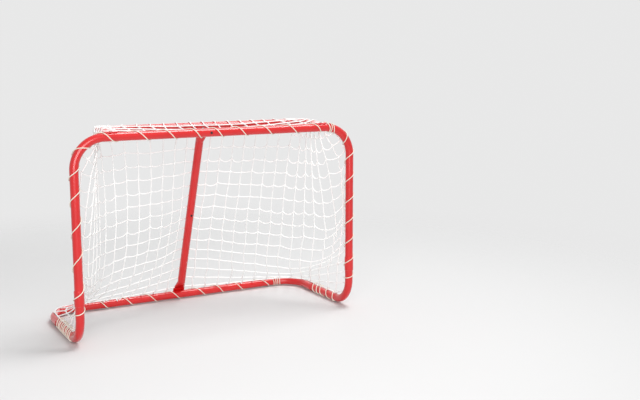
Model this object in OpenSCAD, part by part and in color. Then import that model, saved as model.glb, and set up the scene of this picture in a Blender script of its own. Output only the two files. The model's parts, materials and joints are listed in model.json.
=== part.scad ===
// Knock-down floor hockey goal: bent steel tubes pushed into one another, a strut behind
// the mouth, a knotted net and the cord that laces the net to the tubes. Millimetres.
// The mouth faces -Y, the ground is z = 0 and the origin is the bottom centre.

/* [Goal] */
// Distance between the axes of the two posts
goal_w = 875; // [800:5:960]
// Height of the crossbar's axis over the axes of the rails
goal_h = 575; // [540:5:640]
// Distance from the axes of the posts back to the axis of the rear bar
base_d = 378; // [360:2:420]
// Distance from the axis of the crossbar back to the axis of the top bar
top_d = 158; // [146:1:180]
// Height of the axis of the top bar over the axis of the crossbar
top_rise = 6; // [4:1:7]
// Distance from the middle of the goal to the axis of each top arm
arm_x = 332; // [310:1:340]

/* [Bends] */
// Centreline radius of the bends between posts and crossbar
corner_r = 88; // [75:1:92]
// Centreline radius of the bends between posts and rails
foot_r = 78; // [60:1:86]
// Centreline radius of the bends between rails and rear bar
rear_r = 88; // [75:1:92]
// Centreline radius of the bends between arms and top bar
top_r = 45; // [40:1:52]

/* [Tubes] */
// Outer diameter of every tube
tube_d = 25; // [23:0.5:26]
// Wall of every tube
tube_wall = 1.2; // [1:0.1:1.5]
// Wall of a widened socket
socket_wall = 1.5; // [1.2:0.1:2]
// Depth of a widened socket
socket_l = 42; // [34:1:46]
// Length of the taper between a socket and its tube
taper_l = 3; // [2:0.5:5]
// Height of the lower edge of a post's socket over the axes of the rails
post_socket_z = 110; // [98:1:130]
// Distance from the axis of the rear bar forward to the front edge of a rail's socket
rail_socket_back = 140; // [136:1:150]
// Radial clearance between a tube and what it is pushed into
fit_gap = 0.1; // [0.05:0.01:0.2]
// Distance that a stub stops short of the bottom of its socket
stub_short = 1; // [0.5:0.5:4]
// Length of a narrowed neck beyond the end of its tube on the crossbar
bar_neck_l = 62; // [54:1:80]
// Length of a narrowed neck on the rear bar and the top bar
rail_neck_l = 60; // [50:1:80]
// Offset of the joints in the rear bar and the top bar from the middle
joint_x = 30; // [24:1:40]

/* [Flattened ends] */
// Width of a flattened tube end
tab_w = 39; // [34:0.5:40]
// Length of the flat part of a tab between its bolt line and the round tube
tab_l = 16; // [14:1:20]
// Length over which the round tube turns into the tab
squash_l = 34; // [26:1:40]
// Angle by which an arm's tab wraps forward over the crossbar
saddle_a = 35; // [20:1:45]
// Length of a strut's tab beyond its screw
tab_end = 12; // [9:1:14]
// Radius of the rounded corners of the tabs
tab_corner_r = 8; // [4:1:9]
// Clearance between a tab and the tube that it lies on
tab_gap = 0.3; // [0.2:0.05:0.5]

/* [Strut] */
// Distance along the strut from the rear bar's axis to the joint between its halves
strut_joint = 290; // [240:1:320]
// Length of the narrowed neck of the lower half
strut_neck_l = 46; // [44:1:70]

/* [Snap buttons] */
// Distance of the crossbar's button from the end of the left half of the crossbar
bar_button_x = 38.7; // [30:0.1:45]
// Distance of the strut's button above the joint in the strut
strut_button_z = 22; // [16:1:26]
// Diameter of a button's stem
button_d = 6.8; // [5:0.1:8]
// Radial clearance of a button in its hole
button_gap = 0.08; // [0.05:0.01:0.1]
// Height of a button over the tube's surface
button_h = 2.7; // [1.5:0.1:3]
// Width of the flange that holds a button inside the tube
flange_d = 9.2; // [8.8:0.1:9.6]
// Thickness of the flange
flange_t = 1.2; // [0.8:0.1:1.5]
// Clearance between the flange and the wall over it
flange_gap = 0.4; // [0.2:0.05:0.6]
// Thickness of a leaf spring
leaf_t = 0.7; // [0.5:0.1:0.9]
// Width of a leaf spring
leaf_w = 6; // [4:0.5:7]
// Length of a leaf spring
leaf_l = 26; // [20:1:30]

/* [Screws] */
// Diameter of a screw's shank
screw_d = 4.2; // [3.5:0.1:5]
// Diameter of a screw's head
screw_head_d = 8; // [7:0.1:9]
// Height of a pan head
pan_h = 2.4; // [1.5:0.1:3]
// Depth of a countersunk head
sink_h = 1.9; // [1.5:0.1:2.2]
// Radial clearance of a screw in a tube's pilot hole
pilot_gap = 0.05; // [0.02:0.01:0.1]
// Radial clearance of a screw in a tab
shank_gap = 0.3; // [0.1:0.05:0.5]

/* [Net] */
// Size of a mesh of the net, from knot to knot
net_mesh = 40; // [36:1:46]
// Width of a strand of the net
strand_w = 2.4; // [1.6:0.1:3]
// Thickness of the net
strand_t = 2; // [1.2:0.1:2.4]
// Clearance between the net and a tube
net_gap = 0.3; // [0.2:0.05:0.5]
// Distance of a panel's edge from the line where two panels meet
seam = 0.75; // [0.6:0.05:1]
// The same distance where the top panel meets the back panel
fold_seam = 1; // [1:0.05:1.3]
// Length by which the side of the net reaches up past the end of a post into the bend
net_lap = 14; // [12:1:20]

/* [Lacing] */
// Diameter of the lacing cord
lace_d = 3; // [2.5:0.1:3.5]
// Clearance between the cord and a tube
lace_gap = 0.15; // [0.1:0.05:0.3]
// Corners of one turn of the cord
lace_corners = 12; // [12:12:24]
// Sides of the cord
lace_sides = 6; // [5:1:8]

/* [Hidden] */
$fn = 96;
HULL_FN = 32;
RULE = 0.01;
SKIN = 0.15;

// Radii of the tubes
tube_r = tube_d / 2;
bore_r = tube_r - tube_wall;
neck_r = bore_r - fit_gap;
neck_bore = neck_r - tube_wall;
socket_bore = tube_r + fit_gap;
socket_r = socket_bore + socket_wall;

// Radii from a tube's axis to the cord's own axis at the corners of a turn
corner_k = 1 / cos(180 / lace_corners);
lace_r = lace_d / 2;
wrap_r = (tube_r + lace_gap + lace_r) * corner_k;
socket_wrap_r = (socket_r + lace_gap + lace_r) * corner_k;

// Heights of the axes; the turns under the rails are cut flat by a tenth of the cord
rail_z = wrap_r + lace_r - lace_d / 10;
bar_z = rail_z + goal_h;
top_z = bar_z + top_rise;
post_x = goal_w / 2;
post_z0 = rail_z + foot_r;
post_z1 = bar_z - corner_r;
socket_z0 = rail_z + post_socket_z;
socket_z1 = socket_z0 + socket_l;
rail_socket_y = base_d - rail_socket_back;

// Tabs
tab_t = 2 * tube_wall;
tab_r0 = tube_r + tab_gap;
tab_r1 = tab_r0 + tab_t;

// Strut: it runs from the rear bar's axis to the top bar's axis
strut_rise = goal_h + top_rise;
strut_run = base_d - top_d;
strut_l = norm([strut_run, strut_rise]);
strut_a = atan2(strut_run, strut_rise);

// Net: edges of the panels beside the tubes, and the fold over the top bar
net_r = socket_r + net_gap;
net_edge = net_r - seam;
top_half = arm_x - tab_w / 2 - 3 * strand_w;
top_a = atan2(top_rise + tube_r, top_d);
fold_r = tube_r + 3 * net_gap + strand_t / 2;
fold_y = top_d + fold_r * (cos(top_a) - sin(strut_a)) / cos(top_a - strut_a);
fold_z = top_z + fold_r * (cos(strut_a) + sin(top_a)) / cos(top_a - strut_a);
fold_out = fold_y - top_d;
bend_cut = tan(22.5) * (top_r + fold_out);
back_r = tab_r1 + strand_t / 2 + 0.5;
back_drop = fold_seam + strand_w / 2;
back_y = base_d + back_r * cos(strut_a) + back_drop * sin(strut_a);
back_z = rail_z + back_r * sin(strut_a) - back_drop * cos(strut_a);
back_half = post_x - rear_r;

// Meshes along the edges that are laced; each count is odd
function odd(n) = 2 * round((n - 1) / 2) + 1;
post_l = post_z1 - post_z0;
post_n = odd(post_l / net_mesh);
post_pitch = post_l / post_n;
top_n = odd(2 * top_half / net_mesh);
top_pitch = 2 * top_half / top_n;
back_n = odd(2 * back_half / net_mesh);
back_pitch = 2 * back_half / back_n;

// Radii of the turns where they pass outside the net's edge
net_turn_r = net_r + strand_w + lace_r + 2;
bar_turn_r = (net_r + strand_w + lace_r + 0.4) * corner_k;
rear_turn_r = (back_r + strand_t / 2 + lace_r + 0.2) * corner_k;

// The origin is in the middle between the foremost and the rearmost turn
front_y = -(base_d + rear_turn_r - socket_wrap_r) / 2;

function unit(v) = v / norm(v);

// ---- Tubes ----

// Wall of a tube as a flat ring
module ring(r, bore) {
    difference() {
        circle(r);
        circle(bore);
    }
}

// Straight tube along +Z
module pipe(l, r = tube_r, bore = bore_r) {
    linear_extrude(l) ring(r, bore);
}

// Quarter bend in the XY plane, from +X round to +Y
module bend(bend_r) {
    rotate_extrude(angle = 90) translate([bend_r, 0]) ring(tube_r, bore_r);
}

// Widened socket that opens at z = 0 and tapers into the tube above it
module socket() {
    rotate_extrude()
        polygon([[socket_bore, 0], [socket_r, 0], [socket_r, socket_l],
                 [tube_r, socket_l + taper_l], [bore_r, socket_l + taper_l],
                 [socket_bore, socket_l]]);
}

// Narrowed neck below z = 0 with the collar that joins it to its tube
module neck(l) {
    translate([0, 0, -l]) pipe(l + taper_l, neck_r, neck_bore);
    pipe(taper_l, tube_r, neck_bore);
}

// Tube along +X from x0 to x1 at the given place
module bar(x0, x1, y, z) {
    translate([x0, y, z]) rotate([0, 90, 0]) pipe(x1 - x0);
}

// Neck on the end of a right-hand tube, pointing to -X
module bar_neck(x, y, z, l) {
    translate([x, y, z]) rotate([0, 90, 0]) neck(l);
}

// ---- Snap buttons and screws; each is drawn along +Z from a tube's axis ----

flange_z = sqrt(pow(neck_bore, 2) - pow(flange_d / 2, 2)) - flange_gap;

module button_shape() {
    tip_z = tube_r + button_h;
    stem_r = button_d / 2;
    rotate_extrude()
        polygon([[0, flange_z - flange_t], [flange_d / 2, flange_z - flange_t],
                 [flange_d / 2, flange_z], [stem_r, flange_z], [stem_r, tip_z - 1],
                 [stem_r - 1, tip_z - 0.2], [0, tip_z]]);
}

// Bent leaf: one leg carries the button, the other leans on the far wall of the neck
module leaf_shape() {
    top = flange_z - flange_t - 0.2 - leaf_t / 2;
    foot = -sqrt(pow(neck_bore, 2) - pow(leaf_w / 2, 2)) + 0.2 + leaf_t / 2;
    heel = [leaf_l, (top + foot) / 2];
    rotate([90, 0, 0]) linear_extrude(leaf_w, center = true) {
        leg([0, top], heel);
        leg([0, foot], heel);
        translate(heel) circle(leaf_t * 0.7);
    }
}

// Straight leg of the leaf between two points, with a flat pad at its free end
module leg(p, q) {
    run = q - p;
    translate(p - [3, leaf_t / 2]) square([5, leaf_t]);
    translate(p) rotate(atan2(run.y, run.x))
        translate([0, -leaf_t / 2]) square([norm(run), leaf_t]);
}

module button_hole() {
    cylinder(h = tube_d, r = button_d / 2 + button_gap);
}

module pilot_hole() {
    cylinder(h = tube_d, r = screw_d / 2 + pilot_gap);
}

module pan_screw() {
    seat = tab_r1 + 0.05;
    head_r = screw_head_d / 2;
    rotate_extrude()
        polygon([[0, tube_r / 2], [screw_d / 2, tube_r / 2], [screw_d / 2, seat],
                 [head_r, seat], [head_r, seat + pan_h * 0.4],
                 [head_r * 0.8, seat + pan_h * 0.8], [head_r * 0.4, seat + pan_h],
                 [0, seat + pan_h]]);
}

module sunk_screw() {
    head_z = tab_r1 - 0.05;
    rotate_extrude()
        polygon([[0, tube_r / 2], [screw_d / 2, tube_r / 2], [screw_d / 2, head_z - sink_h],
                 [screw_head_d / 2, head_z], [0, head_z]]);
}

module sunk_hole() {
    cylinder(h = tube_d, r = screw_d / 2 + shank_gap);
    translate([0, 0, tab_r1 - sink_h])
        cylinder(h = sink_h + RULE, r1 = screw_d / 2 + shank_gap,
                 r2 = screw_head_d / 2 + shank_gap);
}

// ---- Flattened tube ends ----

// Plan of a tab that ends in rounded corners at y = 0 and runs to y = l
module tab_plan(l) {
    side = tab_w / 2 - tab_corner_r;
    translate([-tab_w / 2, tab_corner_r]) square([tab_w, l - tab_corner_r]);
    translate([-side, 0]) square([2 * side, l]);
    for (s = [-1, 1]) translate([s * side, tab_corner_r]) circle(tab_corner_r);
}

// Tube pressed flat along +Y: a tab between tab_r0 and tab_r1 over z = 0 turns into a
// round tube whose axis lies at the height rise. Both ends start inside their neighbour.
module squash(rise) {
    mid = tab_r0 + tab_t / 2;
    difference() {
        hull() {
            squash_flat(tab_w - 2 * SKIN, tab_t - 2 * SKIN, tab_l - RULE, mid);
            squash_round(tube_r - SKIN, 0.1, rise);
        }
        hull() {
            squash_flat(tab_w - 2 * tab_t, tab_t * 0.2, tab_l + tube_wall, mid);
            squash_round(bore_r / cos(180 / HULL_FN) + SKIN, 0.2, rise);
        }
    }
}

module squash_flat(w, t, y, z) {
    translate([-w / 2, y, z - t / 2]) cube([w, RULE, t]);
}

module squash_round(r, l, z) {
    translate([0, tab_l + squash_l + l, z]) rotate([90, 0, 0])
        cylinder(h = l, r = r, $fn = HULL_FN);
}

// ---- Front frame ----

// Right half of the front: socket, post, bend and half of the crossbar
module front_half() {
    translate([post_x, 0, socket_z0]) socket();
    translate([post_x, 0, socket_z1 + taper_l]) pipe(post_z1 - socket_z1 - taper_l);
    translate([post_x - corner_r, 0, post_z1]) rotate([90, 0, 0]) bend(corner_r);
    bar(0, post_x - corner_r, 0, bar_z);
}

module at_bar_button() {
    translate([-bar_button_x, 0, bar_z]) rotate([90, 0, 0]) children();
}

module at_arm_screw(side) {
    translate([side * arm_x, 0, bar_z]) children();
}

module front_left() {
    color("firebrick") difference() {
        mirror([1, 0, 0]) front_half();
        at_bar_button() button_hole();
        at_arm_screw(-1) pilot_hole();
    }
}

module front_right() {
    color("firebrick") difference() {
        union() {
            front_half();
            bar_neck(0, 0, bar_z, bar_neck_l);
        }
        at_bar_button() button_hole();
        at_arm_screw(1) pilot_hole();
    }
}

module crossbar_button() {
    color("silver") at_bar_button() button_shape();
}

module crossbar_spring() {
    color("gray") at_bar_button() leaf_shape();
}

// ---- Base ----

// Right elbow: stub, foot bend and the front part of the rail
module base_elbow() {
    stub_z = socket_z1 - stub_short;
    rail_end = rail_socket_y + socket_l - stub_short;
    translate([post_x, 0, post_z0]) pipe(stub_z - post_z0);
    translate([post_x, foot_r, post_z0]) rotate([0, 90, 0]) rotate(-90) bend(foot_r);
    translate([post_x, foot_r, rail_z]) rotate([-90, 0, 0]) pipe(rail_end - foot_r);
}

module base_elbow_left() {
    color("firebrick") mirror([1, 0, 0]) base_elbow();
}

module base_elbow_right() {
    color("firebrick") base_elbow();
}

// Right part of the rear U, with its bar running on to x = end_x
module rear_half(end_x) {
    socket_end = rail_socket_y + socket_l + taper_l;
    translate([post_x, rail_socket_y, rail_z]) rotate([-90, 0, 0]) socket();
    translate([post_x, socket_end, rail_z]) rotate([-90, 0, 0])
        pipe(base_d - rear_r - socket_end);
    translate([post_x - rear_r, base_d - rear_r, rail_z]) bend(rear_r);
    bar(end_x, post_x - rear_r, base_d, rail_z);
}

// The strut's own frame: +Z runs up the strut, +Y points out through the net
module strut_frame() {
    translate([0, base_d, rail_z]) rotate([strut_a, 0, 0]) children();
}

module at_strut_screw(upper) {
    strut_frame() translate([0, 0, upper ? strut_l : 0])
        rotate([upper ? 90 : -90, 0, 0]) children();
}

module rear_left() {
    color("firebrick") difference() {
        mirror([1, 0, 0]) rear_half(-joint_x);
        at_strut_screw(false) pilot_hole();
    }
}

module rear_right() {
    color("firebrick") difference() {
        union() {
            rear_half(joint_x);
            bar_neck(joint_x, base_d, rail_z, rail_neck_l);
        }
        at_strut_screw(false) pilot_hole();
    }
}

// ---- Top ----

// Right arm with its saddle on the crossbar, the bend and its part of the top bar
module top_half_frame(end_x) {
    saddle_l = tab_r1 * sin(saddle_a);
    translate([arm_x, 0, bar_z]) difference() {
        union() {
            intersection() {
                rotate([90, 0, 90]) rotate(90) rotate_extrude(angle = saddle_a)
                    translate([tab_r0, -tab_w / 2]) square([tab_t, tab_w]);
                translate([0, -saddle_l, 0]) linear_extrude(tube_d)
                    tab_plan(saddle_l + tab_corner_r);
            }
            translate([-tab_w / 2, 0, tab_r0]) cube([tab_w, tab_l, tab_t]);
            squash(top_rise);
        }
        cylinder(h = tube_d, r = screw_d / 2 + shank_gap);
    }
    translate([arm_x, tab_l + squash_l, top_z]) rotate([-90, 0, 0])
        pipe(top_d - top_r - tab_l - squash_l);
    translate([arm_x - top_r, top_d - top_r, top_z]) bend(top_r);
    bar(end_x, arm_x - top_r, top_d, top_z);
}

module top_left() {
    color("firebrick") difference() {
        mirror([1, 0, 0]) top_half_frame(-joint_x);
        at_strut_screw(true) pilot_hole();
    }
}

module top_right() {
    color("firebrick") difference() {
        union() {
            top_half_frame(joint_x);
            bar_neck(joint_x, top_d, top_z, rail_neck_l);
        }
        at_strut_screw(true) pilot_hole();
    }
}

module arm_screws() {
    color("silver") for (side = [-1, 1]) at_arm_screw(side) pan_screw();
}

// ---- Strut ----

// One end of the strut: a flat tab behind a bar at z = 0, then the round tube up to z = l
module strut_end(l) {
    difference() {
        union() {
            translate([0, 0, -tab_end]) rotate([90, 0, 0]) mirror([0, 0, 1])
                translate([0, 0, tab_r0]) linear_extrude(tab_t) tab_plan(tab_end + tab_l);
            rotate([90, 0, 0]) mirror([0, 0, 1]) squash(0);
        }
        rotate([-90, 0, 0]) sunk_hole();
    }
    translate([0, 0, tab_l + squash_l]) pipe(l - tab_l - squash_l);
}

module at_strut_button() {
    strut_frame() translate([0, 0, strut_joint + strut_button_z])
        rotate([90, 0, 0]) children();
}

module brace_lower() {
    color("firebrick") difference() {
        strut_frame() {
            strut_end(strut_joint);
            translate([0, 0, strut_joint]) mirror([0, 0, 1]) neck(strut_neck_l);
        }
        at_strut_button() button_hole();
    }
}

module brace_upper() {
    color("firebrick") difference() {
        strut_frame() translate([0, 0, strut_l]) rotate([180, 0, 0])
            strut_end(strut_l - strut_joint);
        at_strut_button() button_hole();
    }
}

module brace_button() {
    color("silver") at_strut_button() button_shape();
}

module brace_spring() {
    color("gray") at_strut_button() rotate(-90) leaf_shape();
}

module brace_screws() {
    color("silver") for (upper = [false, true]) at_strut_screw(upper) sunk_screw();
}

// ---- Net ----

// Corners of a flat outline moved inwards by e
function inset(q, e) = [for (i = [0 : len(q) - 1])
    let (before = unit(q[i] - q[(i + len(q) - 1) % len(q)]),
         after = unit(q[(i + 1) % len(q)] - q[i]),
         n0 = [-before.y, before.x],
         n1 = [-after.y, after.x])
    q[i] + e * (n0 + n1) / (1 + n0 * n1)];

// Flat piece of net through the corners p, with its meshes squared to the first edge
module panel(p, pitch, edge = seam) {
    u = unit(p[1] - p[0]);
    n = unit(cross(u, p[2] - p[0]));
    v = cross(n, u);
    flat = [for (q = p) [(q - p[0]) * u, (q - p[0]) * v]];
    x0 = min([for (q = flat) q.x]);
    x1 = max([for (q = flat) q.x]);
    y1 = max([for (q = flat) q.y]);
    multmatrix([[u.x, v.x, n.x, p[0].x], [u.y, v.y, n.y, p[0].y],
                [u.z, v.z, n.z, p[0].z], [0, 0, 0, 1]])
        linear_extrude(strand_t, center = true) {
            difference() {
                polygon(inset(flat, edge));
                polygon(inset(flat, edge + strand_w));
            }
            intersection() {
                polygon(inset(flat, edge + strand_w / 2));
                union() {
                    for (i = [ceil(x0 / pitch) : floor(x1 / pitch)])
                        translate([i * pitch - strand_w / 2, 0]) square([strand_w, y1]);
                    for (j = [1 : floor(y1 / pitch)])
                        translate([x0, j * pitch - strand_w / 2])
                            square([x1 - x0, strand_w]);
                }
            }
        }
}

// Corners of the right side of the net
foot_front = [post_x, net_edge, post_z0];
foot_rear = [post_x, foot_r, rail_z + net_edge];
post_top = [post_x, net_edge, post_z1 + net_lap];
rail_end = [post_x, base_d - rear_r, rail_z + net_edge];
bend_end = [back_half, base_d, rail_z + net_edge];
bar_end = [post_x - corner_r + strand_w + seam, net_edge, bar_z];
arm_fold = [arm_x + fold_out, top_d - top_r + bend_cut, fold_z];
bar_fold = [arm_x - top_r + bend_cut, fold_y, fold_z];

// Width of a mesh that divides the edge from p to q evenly
function even(p, q) = norm(q - p) / max(1, round(norm(q - p) / net_mesh));

module net_side() {
    panel([foot_front, post_top, rail_end, foot_rear], post_pitch);
    panel([post_top, rail_end, arm_fold], even(post_top, rail_end));
    panel([post_top, bar_end, arm_fold], even(post_top, bar_end));
    panel([rail_end, bend_end, arm_fold], even(rail_end, bend_end));
    panel([bend_end, bar_fold, arm_fold], even(bend_end, bar_fold));
}

module net_right() {
    color("white") net_side();
}

module net_left() {
    color("white") mirror([1, 0, 0]) net_side();
}

module net_back() {
    color("white")
        panel([[-back_half, back_y, back_z], [back_half, back_y, back_z],
               [bar_fold.x, fold_y, fold_z], [-bar_fold.x, fold_y, fold_z]],
              back_pitch, fold_seam);
}

module net_top() {
    front = net_r - fold_seam;
    color("white")
        panel([[-top_half, front, bar_z], [top_half, front, bar_z],
               [top_half, fold_y, fold_z], [-top_half, fold_y, fold_z]],
              top_pitch, fold_seam);
}

// ---- Lacing: right-handed turns round the tubes and the edge of the net ----

STEP = 1 / lace_corners;

// True where the corner at the given turn lies between two angles of the turn
function within(t, a0, a1) = let (a = 360 * (t - floor(t + STEP / 4)))
    a > a0 - 5 && a < a1 + 5;

// One corner of a turn: its place, and the point on the tube's axis that it goes round
function corner(c, along, n, t, r) =
    let (a = 360 * t)
    [c + r * (cos(a) * n + sin(a) * cross(along, n)), c];

// Cord through the corners, with an end one diameter long at each end
module lace(corners) {
    m = len(corners);
    first = unit(corners[0][0] - corners[1][0]) * lace_d;
    last = unit(corners[m - 1][0] - corners[m - 2][0]) * lace_d;
    path = concat([corners[0] + [first, first]], corners,
                  [corners[m - 1] + [last, last]]);
    n = len(path);
    rings = [for (i = [0 : n - 1])
        let (p = path[i][0],
             dir = unit(path[min(i + 1, n - 1)][0] - path[max(i - 1, 0)][0]),
             out = p - path[i][1],
             e0 = unit(out - (out * dir) * dir),
             e1 = cross(dir, e0))
        for (j = [0 : lace_sides - 1])
            let (a = 360 * j / lace_sides) p + lace_r * (cos(a) * e0 + sin(a) * e1)];
    sides = [for (i = [0 : n - 2], j = [0 : lace_sides - 1])
        let (k = (j + 1) % lace_sides, a = i * lace_sides, b = a + lace_sides)
        each [[a + j, b + j, b + k], [a + j, b + k, a + k]]];
    caps = [for (j = [1 : lace_sides - 2])
        let (z = (n - 1) * lace_sides)
        each [[0, j, j + 1], [z, z + j + 1, z + j]]];
    polyhedron(points = rings, faces = concat(sides, caps), convexity = 10);
}

// Least gap between two stretches of one cord that lie half a turn or more apart
function least_gap(corners) = min([for (i = [0 : len(corners) - 1],
                                       j = [i + lace_corners / 2 : 1 : len(corners) - 1])
    norm(corners[i][0] - corners[j][0])]) - lace_d;

// Front: up the left post, along the crossbar and down the right post. Lengths are
// measured along the tube from the upper end of the left foot bend.
bend_l = corner_r * PI / 2;
bar_l = goal_w - 2 * corner_r;
s_bend = post_l;
s_bar = s_bend + bend_l;
s_bend2 = s_bar + bar_l;
s_post2 = s_bend2 + bend_l;

function front_axis(s) =
    s < s_bend ? [-post_x, 0, post_z0 + s] :
    s < s_bar ? let (a = (s - s_bend) / corner_r * 180 / PI)
        [-post_x + corner_r * (1 - cos(a)), 0, post_z1 + corner_r * sin(a)] :
    s < s_bend2 ? [-post_x + corner_r + s - s_bar, 0, bar_z] :
    s < s_post2 ? let (a = (s - s_bend2) / corner_r * 180 / PI)
        [post_x - corner_r * (1 - sin(a)), 0, post_z1 + corner_r * cos(a)] :
    [post_x, 0, post_z1 - (s - s_post2)];

function front_along(s) =
    let (a = s < s_bend ? 0 : s < s_bar ? (s - s_bend) / corner_r * 180 / PI :
             s < s_bend2 ? 90 :
             s < s_post2 ? 90 + (s - s_bend2) / corner_r * 180 / PI : 180)
    [sin(a), 0, cos(a)];

// Turns counted from the first mesh of the left post: every second mesh is laced
post_turns = (post_n - 1) / 2;
bar_turns = (top_n - 1) / 2;
turn_bend = post_turns + 1;
turn_bar = turn_bend + 1;
turn_tab = turn_bar + bar_turns;
turn_bend2 = turn_tab + 1;
turn_post2 = turn_bend2 + 1;
mesh_s = s_bar + (bar_l / 2 - top_half) + top_pitch / 2;
tab_s = s_bar + bar_l / 2 + arm_x - tab_w / 2 - lace_d;
front_stations = [
    [-1, -1.5 * post_pitch],
    [post_turns, post_l - post_pitch / 2],
    [turn_bend, s_bend + bend_l / 2],
    [turn_bar, mesh_s],
    [turn_tab, mesh_s + 2 * bar_turns * top_pitch],
    [turn_tab + 0.4, tab_s],
    [turn_bend2, s_bend2 + bend_l / 2],
    [turn_post2, s_post2 + post_pitch / 2],
    [turn_post2 + post_turns + 1, s_post2 + post_l + 1.5 * post_pitch]];

// The turns grow wider round the sockets of the posts
swell = [[socket_z0 - 22, wrap_r], [socket_z0 - 14, socket_wrap_r],
         [socket_z1 + 16, socket_wrap_r], [socket_z1 + 24, wrap_r]];

function front_r(s, t) =
    s >= s_bar && s <= s_bend2 && within(t, 0, 30) ? bar_turn_r :
    (s <= s_bend || s >= s_post2) && within(t, 0, 0) ? net_turn_r :
    lookup(front_axis(s).z, swell);

front_corners = [for (i = [-2 : lace_corners * (turn_post2 + post_turns) + 2])
    let (t = i * STEP, s = lookup(t, front_stations))
    corner(front_axis(s), front_along(s), [0, 1, 0], t, front_r(s, t))];

// Rear bar: every second mesh, and none behind the strut
rear_turns = (back_n - 1) / 2;
rear_pass = 0.79;
function rear_x(t) = (t - rear_pass) * 2 * back_pitch - (back_n / 2 - 1.5) * back_pitch;
rear_corners = [for (i = [round(0.25 / STEP) : round((rear_turns + 0.4) / STEP)])
    let (t = i * STEP)
    corner([rear_x(t), base_d, rail_z], [1, 0, 0], [0, 0, 1], t,
           within(t, 270, 300) ? rear_turn_r : wrap_r)];

// Rails: every mesh between the foot bend and the rail's socket
rail_first = ceil((foot_r + 16 - net_edge) / post_pitch - 0.5);
rail_last = floor((rail_socket_y - 12 - net_edge) / post_pitch - 0.5);
function rail_y(t) = net_edge + (rail_first + 0.5 + t) * post_pitch;
function rail_corners(side) = [for (i = [-0.5 / STEP : round((rail_last - rail_first + 0.25) / STEP)])
    let (t = i * STEP)
    corner([side * post_x, rail_y(t), rail_z], [0, 1, 0], [0, 0, 1], t,
           within(t, 0, 0) ? net_turn_r : wrap_r)];

// The turns under a rail are cut flat where they stand on the ground
module cut_flat() {
    intersection() {
        children();
        translate([-goal_w, -tube_d, 0]) cube([2 * goal_w, 2 * base_d, goal_h]);
    }
}

module front_lacing() {
    color("ivory") lace(front_corners);
}

module rear_lacing() {
    color("ivory") cut_flat() lace(rear_corners);
}

module rail_lacing_left() {
    color("ivory") cut_flat() lace(rail_corners(-1));
}

module rail_lacing_right() {
    color("ivory") cut_flat() lace(rail_corners(1));
}

echo(least_gap_front = least_gap(front_corners), least_gap_rear = least_gap(rear_corners),
     least_gap_rail = least_gap(rail_corners(1)));

translate([0, front_y, 0]) {
    front_left();
    front_right();
    crossbar_button();
    crossbar_spring();
    base_elbow_left();
    base_elbow_right();
    rear_left();
    rear_right();
    top_left();
    top_right();
    arm_screws();
    brace_lower();
    brace_upper();
    brace_button();
    brace_spring();
    brace_screws();
    net_back();
    net_top();
    net_left();
    net_right();
    front_lacing();
    rear_lacing();
    rail_lacing_left();
    rail_lacing_right();
}
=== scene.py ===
"""Looks of a knock-down floor hockey goal: powder-coated steel tubes, a knotted net and
the cord that laces it to the tubes. Metres; the mouth faces -Y and the ground is z = 0."""
import json
import math
from collections import namedtuple

import bpy
import numpy as np
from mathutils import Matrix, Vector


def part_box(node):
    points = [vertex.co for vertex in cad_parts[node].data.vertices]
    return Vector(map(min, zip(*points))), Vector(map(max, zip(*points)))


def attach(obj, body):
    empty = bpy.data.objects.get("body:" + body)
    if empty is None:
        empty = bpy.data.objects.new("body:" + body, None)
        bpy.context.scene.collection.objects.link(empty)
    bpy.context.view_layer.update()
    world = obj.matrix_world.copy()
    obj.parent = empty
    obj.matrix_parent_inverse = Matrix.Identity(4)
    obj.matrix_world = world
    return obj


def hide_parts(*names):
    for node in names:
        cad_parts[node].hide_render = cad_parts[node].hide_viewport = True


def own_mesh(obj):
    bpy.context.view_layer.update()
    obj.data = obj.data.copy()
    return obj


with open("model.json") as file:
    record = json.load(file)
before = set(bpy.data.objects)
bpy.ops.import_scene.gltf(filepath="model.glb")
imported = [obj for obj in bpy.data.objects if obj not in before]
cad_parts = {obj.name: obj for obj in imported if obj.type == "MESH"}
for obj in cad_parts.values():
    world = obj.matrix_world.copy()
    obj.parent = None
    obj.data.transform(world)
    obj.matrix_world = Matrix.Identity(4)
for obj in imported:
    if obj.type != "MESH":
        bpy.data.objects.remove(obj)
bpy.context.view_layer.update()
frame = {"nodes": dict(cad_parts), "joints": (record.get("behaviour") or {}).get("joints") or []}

# Edit mode takes in every selected piece, so nothing is left selected.
bpy.ops.object.select_all(action="DESELECT")

# ---- The studio: a camera at a child's eye height, a soft lamp overhead, a wide one beside
# the camera, a weak one behind and a pale floor that runs out into the surround.
CAMERA_PLACE = (-1.074, -2.642, 0.8093)
CAMERA_PITCH, CAMERA_TURN = 81.03, -29.8
CAMERA_LENS = 51.19
LAMPS_AIM = (0, 0, 0.3)
SURROUND = (0.81, 0.81, 0.81, 1)
AMBIENT = 0.38

scene = bpy.context.scene
scene.view_settings.view_transform = "Standard"
bpy.ops.object.camera_add(location=CAMERA_PLACE,
                          rotation=(math.radians(CAMERA_PITCH), 0, math.radians(CAMERA_TURN)))
camera = bpy.context.object
camera.name = "studio_camera"
camera.data.lens = CAMERA_LENS
camera.data.sensor_width = 36
scene.camera = camera


def soft_lamp(name, place, length, width, power):
    """An oblong soft lamp that looks at the middle of the goal."""
    bpy.ops.object.light_add(type="AREA", location=place)
    lamp = bpy.context.object
    lamp.name = name
    lamp.data.shape = "RECTANGLE"
    lamp.data.size = length
    lamp.data.size_y = width
    lamp.data.energy = power
    away = np.array(place) - np.array(LAMPS_AIM)
    lamp.rotation_euler = (math.atan2(math.hypot(away[0], away[1]), away[2]), 0,
                           math.atan2(away[1], away[0]) + math.pi / 2)


soft_lamp("studio_key", (1.4, -0.5, 4.2), 1.6, 1.9, 118)
soft_lamp("studio_fill", (-1.2, -3.3, 1.3), 2.4, 2.4, 96)
soft_lamp("studio_back", (1.3, 3.2, 1.6), 2.4, 2.4, 20)

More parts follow.
